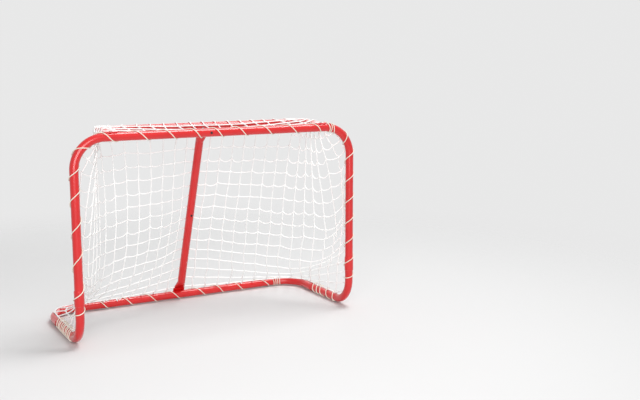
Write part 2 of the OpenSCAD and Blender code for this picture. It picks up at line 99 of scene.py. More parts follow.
# The surround is pale to the camera and in reflections, and lights the goal more weakly.
world = bpy.data.worlds.new("studio_surround")
scene.world = world
world.use_nodes = True
tree = world.node_tree
tree.nodes.clear()
path = tree.nodes.new("ShaderNodeLightPath")
seen = path.outputs["Is Camera Ray"]
for ray in ("Is Glossy Ray", "Is Transmission Ray"):
    either = tree.nodes.new("ShaderNodeMath")
    either.operation = "MAXIMUM"
    tree.links.new(seen, either.inputs[0])
    tree.links.new(path.outputs[ray], either.inputs[1])
    seen = either.outputs[0]
lit = tree.nodes.new("ShaderNodeBackground")
lit.inputs["Color"].default_value = (1, 1, 1, 1)
lit.inputs["Strength"].default_value = AMBIENT
shown = tree.nodes.new("ShaderNodeBackground")
shown.inputs["Color"].default_value = SURROUND
choice = tree.nodes.new("ShaderNodeMixShader")
tree.links.new(seen, choice.inputs["Fac"])
tree.links.new(lit.outputs[0], choice.inputs[1])
tree.links.new(shown.outputs[0], choice.inputs[2])
sink = tree.nodes.new("ShaderNodeOutputWorld")
tree.links.new(choice.outputs[0], sink.inputs["Surface"])


class Wire:
    """An output of a material's node; Python's operators on it add Math nodes."""

    def __init__(self, finish, socket):
        self.finish = finish
        self.socket = socket

    def maths(self, operation, *values):
        return self.finish.node("Math", {"operation": operation}, dict(enumerate(values)))

    def __add__(self, other):
        return self.maths("ADD", self, other)

    def __sub__(self, other):
        return self.maths("SUBTRACT", self, other)

    def __rsub__(self, other):
        return self.maths("SUBTRACT", other, self)

    def __mul__(self, other):
        return self.maths("MULTIPLY", self, other)

    def __truediv__(self, other):
        return self.maths("DIVIDE", self, other)

    __radd__ = __add__
    __rmul__ = __mul__

    def __abs__(self):
        return self.maths("ABSOLUTE", self)

    def larger(self, other):
        return self.maths("MAXIMUM", self, other)

    def wave(self):
        """A sine that comes round once as the wire rises by 1."""
        return self.maths("SINE", self * (2 * math.pi))

    def ramp(self, low, high):
        """0 below low and 1 above high, with a soft step between; high may be the lower."""
        return self.finish.node("MapRange", {"interpolation_type": "SMOOTHSTEP"},
                                {"Value": self, "From Min": low, "From Max": high})


class Finish:
    """A material that is laid out by expressions on its wires."""

    def __init__(self, name, **values):
        self.material = bpy.data.materials.new(name)
        self.material.use_nodes = True
        self.nodes = self.material.node_tree.nodes
        self.shader = self.nodes["Principled BSDF"]
        self.set(**values)

    def feed(self, socket, value):
        if isinstance(value, Wire):
            self.material.node_tree.links.new(value.socket, socket)
        else:
            socket.default_value = value

    def set(self, **values):
        """Sets or links sockets of the shader: base_color for Base Color and so on."""
        for name, value in values.items():
            title = name.replace("_", " ").title().replace("Ior", "IOR")
            self.feed(self.shader.inputs[title], value)

    def node(self, kind, settings=None, sockets=None, output=0):
        """Adds a node of any type: its settings first, then its values and links."""
        made = self.nodes.new("ShaderNode" + kind)
        for name, value in (settings or {}).items():
            setattr(made, name, value)
        for name, value in (sockets or {}).items():
            self.feed(made.inputs[name], value)
        return Wire(self, made.outputs[output])

    def place(self):
        return self.node("TexCoord", output="Object")

    def axes(self, vector):
        """The three numbers of a vector."""
        split = self.node("SeparateXYZ", sockets={0: vector}).socket.node
        return [Wire(self, out) for out in split.outputs]

    def noise(self, scale, detail, roughness=0.5, place=None):
        return self.node("TexNoise", sockets={"Vector": place or self.place(),
                                              "Scale": scale, "Detail": detail,
                                              "Roughness": roughness})

    def mix(self, factor, first, second):
        """A colour between two, or of two wires."""
        return self.node("Mix", {"data_type": "RGBA"}, {0: factor, 6: first, 7: second}, 2)

    def bump(self, height, distance):
        self.set(normal=self.node("Bump", sockets={"Height": height, "Distance": distance}))


# The floor is a plain pale sheet; it thins out to nothing a few metres from the goal.
bpy.ops.mesh.primitive_plane_add(size=14, location=(0, 0, 0))
floor = bpy.context.object
floor.name = "studio_floor"
pale = Finish("pale_floor", base_color=(0.73, 0.73, 0.73, 1), roughness=0.85,
              specular_ior_level=0.1)
far = pale.node("VectorMath", {"operation": "LENGTH"}, {0: pale.place()}, "Value")
pale.set(alpha=far.ramp(2.3, 0.8))
floor.data.materials.append(pale.material)

# ---- The front: two bent tubes, 25 mm steel with a 1.2 mm wall, that meet in the middle
# of the crossbar; each post ends in a widened socket. All tubes are powder-coated in a
# glossy red, which keeps a faint orange peel and chips to the steel at the sockets' lips.
RED = (0.62, 0.0070, 0.0082, 1)
DEEP_RED = (0.57, 0.0056, 0.0066, 1)
BARE_STEEL = (0.33, 0.31, 0.30, 1)
POST_LIP_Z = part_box("front_left")[0][2]
# A lip's chips begin and are thickest at these distances from it, and a rubbed underside
# fades into sound paint over this height.
LIP_CHIPS = (0.0026, 0.0004)
RUB_FADE = 0.0022


def red_paint(name, lip=None, rub_z=None):
    """Red powder coat; lip is the axis and the place of a socket's edge, where the coat
    is chipped, and rub_z a height under which it is rubbed thin."""
    coat = Finish(name, coat_weight=0.8, coat_roughness=0.15, specular_ior_level=0.3)
    cloudy = coat.noise(14, 3)
    scuff = coat.noise(70, 5, 0.65).ramp(0.62, 0.72)
    colour = coat.mix(cloudy.ramp(0.35, 0.7), RED, DEEP_RED)
    rough = 0.27 + cloudy * 0.08 + scuff * 0.16
    relief = coat.noise(900, 2) + coat.noise(160, 1) * 1.5
    where = dict(zip("xyz", coat.axes(coat.place())))
    worn = []
    if lip:
        axis, edge = lip
        near = abs(where[axis] - edge).ramp(*LIP_CHIPS)
        worn.append((near * (0.35 + coat.noise(420, 3))).ramp(0.88, 1.0))
    if rub_z:
        low = where["z"].ramp(rub_z + RUB_FADE, rub_z)
        worn.append(low * coat.noise(60, 4).ramp(0.5, 0.62))
    if worn:
        bare = worn[0].larger(worn[-1])
        colour = coat.mix(bare, colour, BARE_STEEL)
        rough = rough + bare * 0.12
        relief = relief - bare * 1.2
        coat.set(metallic=bare * 0.9)
    coat.set(base_color=colour, roughness=rough)
    coat.bump(relief, 0.00012)
    return coat.material


def dress(material, *names):
    """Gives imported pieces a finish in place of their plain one."""
    for name in names:
        mesh = frame["nodes"][name].data
        mesh.materials.clear()
        mesh.materials.append(material)


dress(red_paint("red_coat_front", lip=("z", POST_LIP_Z)), "front_left", "front_right")

# ---- Snap button and its leaf spring in the crossbar: a turned steel button coloured near black,
# whose flange sits inside the neck, pushed outwards by a bent leaf of blued spring steel
# that leans on the neck's far wall.
# The buttons are coloured near black all over, with lighter worn specks.
near_black = Finish("near_black_steel", metallic=0.9)
worn_black = near_black.noise(900, 4, 0.6)
near_black.set(base_color=near_black.mix(worn_black.ramp(0.55, 0.75), (0.035, 0.035, 0.038, 1),
                                       (0.16, 0.155, 0.15, 1)),
              roughness=0.32 + worn_black * 0.2)
near_black.bump(worn_black, 0.00003)
blued = Finish("blued_spring_steel", metallic=1.0)
drawn_out = blued.node("Mapping", sockets={"Vector": blued.place(), "Scale": (1, 1, 12)})
streaks = blued.noise(180, 3, place=drawn_out)
blued.set(base_color=blued.mix(streaks, (0.10, 0.11, 0.14, 1), (0.20, 0.20, 0.22, 1)),
          roughness=0.28 + streaks * 0.2)
blued.bump(streaks, 0.00002)
dress(near_black.material, "crossbar_button")


def spring_leaf(name, node, joint_name):
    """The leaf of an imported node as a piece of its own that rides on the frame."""
    leaf = bpy.data.objects.new(name, frame["nodes"][node].data.copy())
    scene.collection.objects.link(leaf)
    bpy.context.view_layer.objects.active = leaf
    leaf.select_set(True)
    bpy.ops.object.mode_set(mode="EDIT")
    bpy.ops.mesh.select_all(action="SELECT")
    bpy.ops.mesh.remove_doubles(threshold=1e-6)
    bpy.ops.object.mode_set(mode="OBJECT")
    leaf.select_set(False)
    leaf.data.materials.clear()
    leaf.data.materials.append(blued.material)
    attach(leaf, "frame")
    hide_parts(node)
    push = next(joint for joint in frame["joints"] if joint["name"] == joint_name)
    way = np.array(push["axis"])
    depth = np.array([v.co for v in leaf.data.vertices]) @ way
    1 - push["range_m"][1] / (depth.max() - depth.min())
    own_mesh(leaf)


spring_leaf("leaf_crossbar", "crossbar_spring", "crossbar_button_press")

# ---- The base: two elbows whose stubs stand in the posts' sockets, and the rear U whose
# sockets slide over the elbows' rails. Their undersides rub on the ground.
REAR_LIP_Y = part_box("rear_left")[0][1]
RUB_Z = 0.0036
dress(red_paint("red_coat_elbows", rub_z=RUB_Z), "base_elbow_left", "base_elbow_right")
dress(red_paint("red_coat_rear", lip=("y", REAR_LIP_Y), rub_z=RUB_Z), "rear_left", "rear_right")

# ---- The top: two arms that end in flattened tabs, saddled over the crossbar and held
# by zinc-plated pan-head screws, and the two halves of the top bar.
zinc = Finish("zinc_plate", metallic=1.0)
spangle = zinc.noise(260, 3)
zinc.set(base_color=zinc.mix(spangle.ramp(0.35, 0.65), (0.33, 0.33, 0.34, 1),
                             (0.46, 0.45, 0.42, 1)),
         roughness=0.3 + spangle * 0.22)
zinc.bump(zinc.noise(2500, 2), 0.00003)
dress(red_paint("red_coat_top"), "top_left", "top_right")
dress(zinc.material, "arm_screws")

# ---- The strut between the rear bar and the top bar, in two halves with flattened ends,
# locked by its own snap button and held by two countersunk screws.
dress(red_paint("red_coat_strut"), "brace_lower", "brace_upper")
dress(near_black.material, "brace_button")
dress(zinc.material, "brace_screws")
spring_leaf("leaf_brace", "brace_spring", "brace_button_press")

# ---- The net: white polyester twine, hand-knotted in meshes of 40 mm that grow to 44 mm
# down the sides. Its border is laced to the tubes, and the rest hangs slack under its own
# weight and leans on the tubes that it meets.

# The tubes' axes, with y counted from the posts: half the goal's width, the rails' height,
# the crossbar's height over them and the rails' length; the top bar's depth and its rise
# over the crossbar, and half the arms' distance.
POST_X, RAIL_Z, GOAL_H, BASE_D = 0.4375, 0.015849, 0.575, 0.378
TOP_D, TOP_RISE, ARM_X = 0.158, 0.006, 0.332
CORNER_R, FOOT_R, REAR_R, TOP_R = 0.088, 0.078, 0.088, 0.045
TUBE_R, SOCKET_R = 0.0125, 0.0141
FRONT_Y = -0.190886
BAR_Z = RAIL_Z + GOAL_H
TOP_Z = BAR_Z + TOP_RISE
STRUT_A = math.atan2(BASE_D - TOP_D, GOAL_H + TOP_RISE)
# The border's distance from the axes, its slope on the arms and on the top bar, and the
# turns in degrees to which it follows the crossbar's bend and the rear bend.
EDGE_OFF = 0.0155
ARM_OUT, ARM_UP = 0.62, 0.78
BAR_OUT, BAR_UP = 0.8, 0.6
CORNER_TURN, REAR_TURN = 66, 84
TWINE_R, BORDER_R = 0.0019, 0.0021
# Meshes across a side, across the back, up, and over the roof; then links in a mesh.
SIDE_N, BACK_N, RISE_N, ROOF_N, PARTS = 7, 16, 16, 4, 4
LEFT_END, RIGHT_END = SIDE_N, SIDE_N + BACK_N
AROUND = 2 * SIDE_N + BACK_N


def spot(*numbers):
    return np.array(numbers, float)


def evenly(points, count):
    """count + 1 points that divide a line of points by length."""
    points = np.array(points)
    run = np.r_[0, np.cumsum(np.linalg.norm(np.diff(points, axis=0), axis=1))]
    stops = np.linspace(0, run[-1], count + 1)
    return np.stack([np.interp(stops, run, points[:, k]) for k in range(3)], 1)


def on_foot(side, turn):
    """The border on a foot bend, turned from the post (0) towards the rail."""
    return spot(side * POST_X, FOOT_R * (1 - math.cos(turn)) + EDGE_OFF * math.cos(turn),
                RAIL_Z + FOOT_R * (1 - math.sin(turn)) + EDGE_OFF * math.sin(turn))


def on_corner(side):
    """The border where it leaves the crossbar's bend for the arm."""
    return spot(side * 0.362, 0.015, BAR_Z + 0.006)


def post_edge(side):
    """The net's front edge on one side, from the foot bend up into the crossbar's bend."""
    line = [on_foot(side, turn) for turn in np.radians(np.linspace(45, 0, 8))]
    line += [spot(side * POST_X, EDGE_OFF, z)
             for z in np.linspace(RAIL_Z + FOOT_R, BAR_Z - CORNER_R, 12)[1:]]
    line += [spot(side * (POST_X - CORNER_R + CORNER_R * math.cos(turn)), EDGE_OFF,
                  BAR_Z - CORNER_R + CORNER_R * math.sin(turn))
             for turn in np.radians(np.linspace(0, CORNER_TURN, 10)[1:])]
    return line + [on_corner(side)]


def rail_edge(side):
    """The net's lower edge on one side, along the rail into the rear bend."""
    line = [on_foot(side, turn) for turn in np.radians(np.linspace(45, 90, 6))]
    line += [spot(side * POST_X, y, RAIL_Z + EDGE_OFF)
             for y in np.linspace(FOOT_R, BASE_D - REAR_R, 10)[1:]]
    for turn in np.radians(np.linspace(0, REAR_TURN, 12)[1:]):
        part = turn / math.radians(REAR_TURN)
        away = (1 - part) * spot(0, 0, 1) + part * spot(0, math.cos(STRUT_A), math.sin(STRUT_A))
        line.append(spot(side * (POST_X - REAR_R + REAR_R * math.cos(turn)),
                         BASE_D - REAR_R + REAR_R * math.sin(turn), RAIL_Z)
                    + EDGE_OFF * away / np.linalg.norm(away))
    return line


def arm_edge(side):
    """The net's upper edge on one side, along the arm to the middle of its bend."""
    line = [on_corner(side), spot(side * 0.353, 0.022, TOP_Z + 0.004)]
    line += [spot(side * ARM_X, y, TOP_Z) + EDGE_OFF * spot(side * ARM_OUT, 0, ARM_UP)
             for y in np.linspace(0.045, TOP_D - TOP_R, 6)]
    line += [spot(side * (ARM_X - TOP_R + TOP_R * math.cos(turn)),
                  TOP_D - TOP_R + TOP_R * math.sin(turn), TOP_Z)
             + EDGE_OFF * spot(side * ARM_OUT * math.cos(turn), ARM_OUT * math.sin(turn), ARM_UP)
             for turn in np.radians(np.linspace(0, 45, 6)[1:])]
    return line


def stretch(bottom, top, left, right):
    """Grid of points stretched between four edges."""
    u = np.linspace(0, 1, len(bottom))[:, None, None]
    v = np.linspace(0, 1, len(left))[None, :, None]
    return ((1 - v) * bottom[:, None] + v * top[:, None] + (1 - u) * left[None]
            + u * right[None] - (1 - u) * (1 - v) * bottom[0] - u * (1 - v) * bottom[-1]
            - (1 - u) * v * top[0] - u * v * top[-1])


# The band of net that goes round the sides and the back, laid out flat between its edges.
band = np.zeros((AROUND + 1, RISE_N + 1, 3))
for side in (-1, 1):
    low, high = evenly(rail_edge(side), SIDE_N), evenly(arm_edge(side), SIDE_N)
    panel = stretch(low, high, evenly(post_edge(side), RISE_N),
                    evenly([low[-1], high[-1]], RISE_N))
    if side < 0:
        band[:LEFT_END + 1] = panel
    else:
        band[RIGHT_END:] = panel[::-1]
across = np.linspace(0, 1, BACK_N + 1)[:, None]
low = (1 - across) * band[LEFT_END, 0] + across * band[RIGHT_END, 0]
low[1:-1, 1] = BASE_D + EDGE_OFF * math.cos(STRUT_A)
low[1:-1, 2] = RAIL_Z + EDGE_OFF * math.sin(STRUT_A)
high = (1 - across) * band[LEFT_END, RISE_N] + across * band[RIGHT_END, RISE_N]
past = np.maximum(abs(high[:, 0]) - (ARM_X - TOP_R), 0)
bar_y = TOP_D - TOP_R + np.sqrt(np.maximum(TOP_R ** 2 - past ** 2, 0))
high[1:-1, 1] = bar_y[1:-1] + BAR_OUT * EDGE_OFF
high[1:-1, 2] = TOP_Z + BAR_UP * EDGE_OFF
up = np.linspace(0, 1, RISE_N + 1)[:, None]
for i in range(BACK_N + 1):
    band[LEFT_END + i] = (1 - up) * low[i] + up * high[i]

rng = np.random.default_rng(11)
places, held = [], []


def knot(place, fixed):
    """Notes a point of the net and gives its number."""
    places.append(place)
    held.append(fixed)
    return len(places) - 1


knots = np.zeros((AROUND + 1, RISE_N + 1), int)
for i in range(AROUND + 1):
    for j in range(RISE_N + 1):
        knots[i, j] = knot(band[i, j], i in (0, AROUND) or j in (0, RISE_N))

# The roof's rows end on the band's upper edge, at these knots counted from the post.
ROOF_ENDS = [SIDE_N, 5, 4, 2, 0]
roof = np.zeros((BACK_N + 1, ROOF_N + 1), int)
bar_x = np.linspace(band[0, RISE_N, 0], band[AROUND, RISE_N, 0], BACK_N + 1)
for i in range(BACK_N + 1):
    for k in range(ROOF_N + 1):
        if k == 0:
            roof[i, k] = knots[LEFT_END + i, RISE_N]
        elif i in (0, BACK_N):
            roof[i, k] = knots[ROOF_ENDS[k] if i == 0 else AROUND - ROOF_ENDS[k], RISE_N]
        else:
            place = (1 - k / ROOF_N) * band[LEFT_END + i, RISE_N] \
                + k / ROOF_N * spot(bar_x[i], 0.0145, BAR_Z + 0.006)
            roof[i, k] = knot(place, k == ROOF_N)

# A mesh's side along the rows, down the middle of the back, down its edges and down the
# sides; a hand-tied mesh comes out up to UNEVEN of it longer or shorter.
ROW_MESH, COLUMN_MESH, EDGE_MESH, SIDE_MESH = 0.0400, 0.0404, 0.0418, 0.0436
UNEVEN = 0.085
ROWS, COLUMNS, ROOF_ROWS, ROOF_COLUMNS = range(4)
Strand = namedtuple("Strand", "points meshes family panel radius")
strands = []


def strand(ends, mesh, family, panel, radius=TWINE_R):
    """A twine through the given knots, with PARTS links between two of them."""
    meshes = mesh * rng.uniform(1 - UNEVEN, 1 + UNEVEN, len(ends) - 1)
    points = [ends[0]]
    for a, b in zip(ends[:-1], ends[1:]):
        points += [knot(places[a] + (places[b] - places[a]) * m / PARTS, False)
                   for m in range(1, PARTS)] + [b]
    strands.append(Strand(np.array(points), meshes, family, panel, radius))


def panel_of(i):
    """The panel that a column of the band belongs to."""
    if i < LEFT_END:
        return "left"
    return "right" if i > RIGHT_END else "back"


for j in range(RISE_N + 1):
    radius = BORDER_R if j == 0 else TWINE_R
    strand(knots[:LEFT_END + 1, j], ROW_MESH, ROWS, "left", radius)
    strand(knots[LEFT_END:RIGHT_END + 1, j], ROW_MESH, ROWS, "back", radius)
    strand(knots[RIGHT_END:, j], ROW_MESH, ROWS, "right", radius)
for i in range(AROUND + 1):
    out = abs(i - AROUND / 2) / (BACK_N / 2)
    mesh = COLUMN_MESH + (EDGE_MESH - COLUMN_MESH) * out if out <= 1 else SIDE_MESH
    strand(knots[i], mesh, COLUMNS, panel_of(i), BORDER_R if i in (0, AROUND) else TWINE_R)
for k in range(1, ROOF_N + 1):
    strand(roof[:, k], ROW_MESH, ROOF_ROWS, "top", BORDER_R if k == ROOF_N else TWINE_R)
for i in range(1, BACK_N):
    strand(roof[i], COLUMN_MESH, ROOF_COLUMNS, "top")

# Every other link of a family can be pulled at the same time, as no two of them touch.
links = []
for family in (ROWS, COLUMNS, ROOF_ROWS, ROOF_COLUMNS):
    alike = [twine for twine in strands if twine.family == family]
    for odd in (0, 1):
        links.append([np.concatenate([twine.points[:-1][odd::2] for twine in alike]),
                      np.concatenate([twine.points[1:][odd::2] for twine in alike]),
                      np.concatenate([np.repeat(twine.meshes / PARTS, PARTS)[odd::2]
                                      for twine in alike])])

# Tubes that the net may lean on, each as a straight stretch and its radius. First come the
# rear bar, the top bar, the crossbar and the strut, the bars as far as their bends.
BAR_END, TOP_END = 0.349, 0.287
rods = [(spot(-BAR_END, BASE_D, RAIL_Z), spot(BAR_END, BASE_D, RAIL_Z), TUBE_R),
        (spot(-TOP_END, TOP_D, TOP_Z), spot(TOP_END, TOP_D, TOP_Z), TUBE_R),
        (spot(-BAR_END, 0, BAR_Z), spot(BAR_END, 0, BAR_Z), TUBE_R),
        (spot(0, BASE_D, RAIL_Z), spot(0, TOP_D, TOP_Z), TUBE_R)]
QUARTER = np.linspace(0, math.pi / 2, 7)
for side in (-1, 1):
    rods += [(spot(side * ARM_X, 0.02, TOP_Z), spot(side * ARM_X, TOP_D - TOP_R, TOP_Z), TUBE_R),
             (spot(side * POST_X, 0, RAIL_Z + FOOT_R), spot(side * POST_X, 0, BAR_Z - CORNER_R),
              SOCKET_R),
             (spot(side * POST_X, FOOT_R, RAIL_Z), spot(side * POST_X, BASE_D - REAR_R, RAIL_Z),
              SOCKET_R)]
    bends = [[spot(side * (x - radius + radius * math.cos(t)),
                   y - radius + radius * math.sin(t), z) for t in QUARTER]
             for x, y, z, radius in ((ARM_X, TOP_D, TOP_Z, TOP_R), (POST_X, BASE_D, RAIL_Z, REAR_R))]
    bends.append([spot(side * (POST_X - CORNER_R + CORNER_R * math.cos(t)), 0,
                       BAR_Z - CORNER_R + CORNER_R * math.sin(t)) for t in QUARTER])
    bends.append([spot(side * POST_X, FOOT_R * (1 - math.cos(t)),
                       RAIL_Z + FOOT_R * (1 - math.sin(t))) for t in QUARTER])
    rods += [(p, q, TUBE_R) for turn in bends for p, q in zip(turn, turn[1:])]

# The net drops from its flat layout until it comes to rest. A link may go slack, but never
# grows past the length that it was tied, and a point that sinks into a tube is set back on
# the tube's surface.
STEPS = 420
PASSES = 8
FALL, DAMPING = 2.2e-5, 0.97
STRAY = 0.0008
now = np.array(places)
loose = np.where(np.array(held), 0.0, 1.0)
now += rng.normal(0, STRAY, now.shape) * loose[:, None]
before = now.copy()
for _ in range(STEPS):
    speed = (now - before) * DAMPING
    before = now.copy()
    now = now + speed * loose[:, None]
    now[:, 2] -= FALL * loose
    for _ in range(PASSES):
        for first, second, rest in links:
            gap = now[second] - now[first]
            length = np.linalg.norm(gap, axis=1) + 1e-12
            give = loose[first] + loose[second]
            pull = (np.maximum(length - rest, 0) / length / np.maximum(give, 1e-9)
                    * (give > 0))[:, None] * gap
            now[first] += pull * loose[first][:, None]
            now[second] -= pull * loose[second][:, None]
    for a, b, radius in rods:
        t = np.clip((now - a) @ (b - a) / ((b - a) @ (b - a)), 0, 1)
        away = now - (a + t[:, None] * (b - a))
        depth = np.linalg.norm(away, axis=1)
        inside = (depth < radius + BORDER_R) & (loose > 0)
        now[inside] += away[inside] / (depth[inside][:, None] + 1e-9) \
            * (radius + BORDER_R - depth[inside])[:, None]
now[:, 1] += FRONT_Y


class Cords:
    """Gathers round strands into the arrays of one mesh, with lengths kept in its UVs."""

    def __init__(self):
        self.points, self.faces, self.uvs, self.count = [], [], [], 0

    def sweep(self, line, radius, sides=6, lobes=0, lay=0.0):
        """A closed strand along a line of points; lobes twist round it once per lay."""
        line = np.asarray(line, float)
        ahead = np.gradient(line, axis=0)
        ahead /= np.linalg.norm(ahead, axis=1)[:, None] + 1e-12
        side = np.cross(ahead[0], (0.0, 0.0, 1.0))
        if np.linalg.norm(side) < 0.1:
            side = np.cross(ahead[0], (0.0, 1.0, 0.0))
        run = np.r_[0, np.cumsum(np.linalg.norm(np.diff(line, axis=0), axis=1))]
        angle = np.arange(sides) * 2 * math.pi / sides
        rings = []
        for p, d, u in zip(line, ahead, run):
            side = side - side.dot(d) * d
            side /= np.linalg.norm(side)
            up = np.cross(d, side)
            r = radius
            if lobes:
                r = radius * (0.9 + 0.1 * np.cos(lobes * (angle - 2 * math.pi * u / lay)))
            rings.append(p + (r * np.cos(angle))[:, None] * side
                         + (r * np.sin(angle))[:, None] * up)
        n = len(line)
        start = self.count
        self.points.append(np.array(rings).reshape(-1, 3))
        self.points.append(line[[0, -1]] + radius * 0.5 * np.array([-ahead[0], ahead[-1]]))
        self.count += n * sides + 2
        i, j = np.meshgrid(np.arange(n - 1), np.arange(sides), indexing="ij")
        i, j = i.ravel(), j.ravel()
        k = (j + 1) % sides
        quads = np.stack([i * sides + j, i * sides + k, (i + 1) * sides + k,
                          (i + 1) * sides + j], 1) + start
        around = np.stack([j, j + 1, j + 1, j], 1) / sides
        length = np.stack([run[i], run[i], run[i + 1], run[i + 1]], 1)
        self.faces += quads.tolist()
        self.uvs.append(np.stack([length, around], 2).reshape(-1, 2))
        first, last = start, start + (n - 1) * sides
        first_tip, last_tip = start + n * sides, start + n * sides + 1
        ends = []
        for j in range(sides):
            k = (j + 1) % sides
            ends.append([first_tip, first + k, first + j])
            ends.append([last_tip, last + j, last + k])
        self.faces += ends
        self.uvs.append(np.zeros((3 * len(ends), 2)))

    def add(self, points, faces):
        """A copy of a ready shape."""
        self.points.append(points)
        self.faces += [[v + self.count for v in f] for f in faces]
        self.uvs.append(np.tile((0.0, 0.5), (sum(len(f) for f in faces), 1)))
        self.count += len(points)

    def piece(self, name, material, slot, node):
        """The finished mesh as a piece that rides on the frame and stands for a node."""
        mesh = bpy.data.meshes.new(name)
        mesh.from_pydata(np.concatenate(self.points).tolist(), [], self.faces)
        layer = mesh.uv_layers.new(name="strand")
        layer.data.foreach_set("uv", np.concatenate(self.uvs).ravel())
        mesh.materials.append(material)
        mesh.shade_smooth()
        made = bpy.data.objects.new(name, mesh)
        scene.collection.objects.link(made)
        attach(made, "frame")
        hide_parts(node)


def cord_finish(name, light, painted_yarn_shade, plait, hollow):
    """Plaited fibre: diamonds of yarn from the two ways round, with painted shade in the hollows
    between them.
    """
    fibre = Finish(name, sheen_weight=0.25, specular_ior_level=0.25)
    along, around = fibre.axes(fibre.node("UVMap", {"uv_map": "strand"}))[:2]
    yarn = (along / plait + around).wave() * (along / plait - around).wave() * 0.5 + 0.5
    fuzz = fibre.noise(2600, 2)
    # Darker where the yarn is low: painted shade in the hollows of the plait, broken up by a random
    # fuzz of tone.
    fibre.set(base_color=fibre.mix((yarn * 0.7 + fuzz * 0.3).ramp(0.15, 0.75), painted_yarn_shade, light),
              roughness=0.85 - yarn * 0.2)
    fibre.bump(yarn + fuzz * 0.3, hollow)
    return fibre.material


def rounded(line):
    """The same line with a point more in each link, on a curve through its points."""
    whole = np.concatenate([2 * line[:1] - line[1:2], line, 2 * line[-1:] - line[-2:-1]])
    between = (9 * (whole[1:-2] + whole[2:-1]) - whole[:-3] - whole[3:]) / 16
    fine = np.empty((2 * len(line) - 1, 3))
    fine[::2] = line
    fine[1::2] = between
    return fine


# The turn of twine that makes a knot, modelled once and copied to every crossing.
KNOT_R, KNOT_TWINE_R = 0.0025, 0.00115
bpy.ops.mesh.primitive_torus_add(major_segments=8, minor_segments=4, major_radius=KNOT_R,
                                 minor_radius=KNOT_TWINE_R)
loop = bpy.context.object
bpy.ops.object.mode_set(mode="EDIT")
bpy.ops.mesh.select_all(action="SELECT")
bpy.ops.transform.rotate(value=math.radians(55), orient_axis="X", center_override=(0, 0, 0))
bpy.ops.transform.resize(value=(1.25, 1.0, 0.8))
bpy.ops.object.mode_set(mode="OBJECT")
loop_points = np.array([v.co for v in loop.data.vertices])
loop_faces = [list(f.vertices) for f in loop.data.polygons]
bpy.data.objects.remove(loop)

# The second colour is the painted shade in the hollows between the yarns.
white_twine = cord_finish("white_twine", (0.98, 0.98, 0.97, 1), (0.88, 0.88, 0.87, 1),
                          plait=0.0036, hollow=0.0003)
nets = {panel: Cords() for panel in ("left", "back", "right", "top")}
for twine in strands:
    nets[twine.panel].sweep(rounded(now[twine.points]), twine.radius)


def tie(panel, here, across, up):
    """A knot where two strands cross, in the plane of the net and at a slant of its own."""
    x = now[across[1]] - now[across[0]]
    x /= np.linalg.norm(x) + 1e-9
    y = now[up[1]] - now[up[0]]
    y -= x * x.dot(y)
    y /= np.linalg.norm(y) + 1e-9
    slant = rng.uniform(0.4, 1.1)
    x, y = x * math.cos(slant) + y * math.sin(slant), y * math.cos(slant) - x * math.sin(slant)
    nets[panel].add(now[here] + loop_points @ np.array([x, y, np.cross(x, y)]), loop_faces)


for i in range(AROUND + 1):
    for j in range(RISE_N + 1):
        tie(panel_of(i), knots[i, j],
            (knots[max(i - 1, 0), j], knots[min(i + 1, AROUND), j]),
            (knots[i, max(j - 1, 0)], knots[i, min(j + 1, RISE_N)]))
for i in range(1, BACK_N):
    for k in range(1, ROOF_N + 1):
        tie("top", roof[i, k], (roof[i - 1, k], roof[i + 1, k]),
            (roof[i, k - 1], roof[i, min(k + 1, ROOF_N)]))
for panel in ("back", "left", "right", "top"):
    nets[panel].piece("netting_" + panel, white_twine, "net_twine", "net_" + panel)

# ---- The lacing: a cream three-strand cord, 3 mm thick, wound right-handed round the
# tubes and through the border of the net, pulled tight by hand, and knotted at its ends.
LACE_R = 0.0015
LACE_SIDES, LACE_STRANDS, LACE_LAY = 9, 3, 0.011
LAY_R = TUBE_R + 0.00015 + LACE_R
OVER_BORDER_R = EDGE_OFF + BORDER_R + LACE_R
POINTS_PER_TURN = 30
END_KNOT = 0.0013
# The second colour is the painted shade in the hollows between the yarns.
cream_cord = cord_finish("cream_cord", (0.90, 0.86, 0.76, 1), (0.62, 0.55, 0.43, 1),
                         plait=0.004, hollow=0.0002)


def turn_in(a, low, high, blur):
    """1 where an angle in degrees lies between two, falling to 0 over blur degrees."""
    middle, half = (low + high) / 2, (high - low) / 2
    off = abs((a - middle + 180) % 360 - 180) - half
    return float(np.clip(1 - off / blur, 0, 1))


def over_border(a, low, high, blur):
    """How far from the axis the cord runs, with the net's border between two angles."""
    return LAY_R + (OVER_BORDER_R - LAY_R) * turn_in(a, low, high, blur)


def wind(stations, axis, reach, zero):
    """A cord wound round an axis: stations pair a turn with a length along the axis, and
    reach gives the cord's distance from the axis at a place and an angle."""
    t0, t1 = stations[0][0], stations[-1][0]
    turns = np.linspace(t0, t1, int((t1 - t0) * POINTS_PER_TURN) + 1)
    lengths = np.interp(turns, [s[0] for s in stations], [s[1] for s in stations])
    kernel = np.hanning(POINTS_PER_TURN // 2 + 2)
    kernel /= kernel.sum()
    pad = len(kernel) // 2
    smooth = np.convolve(np.pad(lengths, pad, "edge"), kernel, "same")[pad:-pad]
    line = []
    for t, s in zip(turns, smooth):
        centre, along = axis(s)
        a = 360 * t
        r = reach(centre, a % 360)
        line.append(centre + r * (math.cos(math.radians(a)) * zero
                                  + math.sin(math.radians(a)) * np.cross(along, zero)))
    return np.array(line) + spot(0, FRONT_Y, 0)


def stations_at(stops, phase, first, last):
    """A station for each stop, one turn apart, between those of the cord's two ends."""
    return [first] + [(k + phase, s) for k, s in enumerate(stops)] + [last]


def end_knot(cords, place):
    """An overhand knot drawn tight at the end of a cord."""
    t = np.linspace(0, 2 * math.pi, 37)[:-1]
    shape = np.stack([np.sin(t) + 2 * np.sin(2 * t), np.cos(t) - 2 * np.cos(2 * t),
                      -1.3 * np.sin(3 * t)], 1) * END_KNOT
    cords.sweep(place + np.r_[shape, shape[:1]], LACE_R, 8)


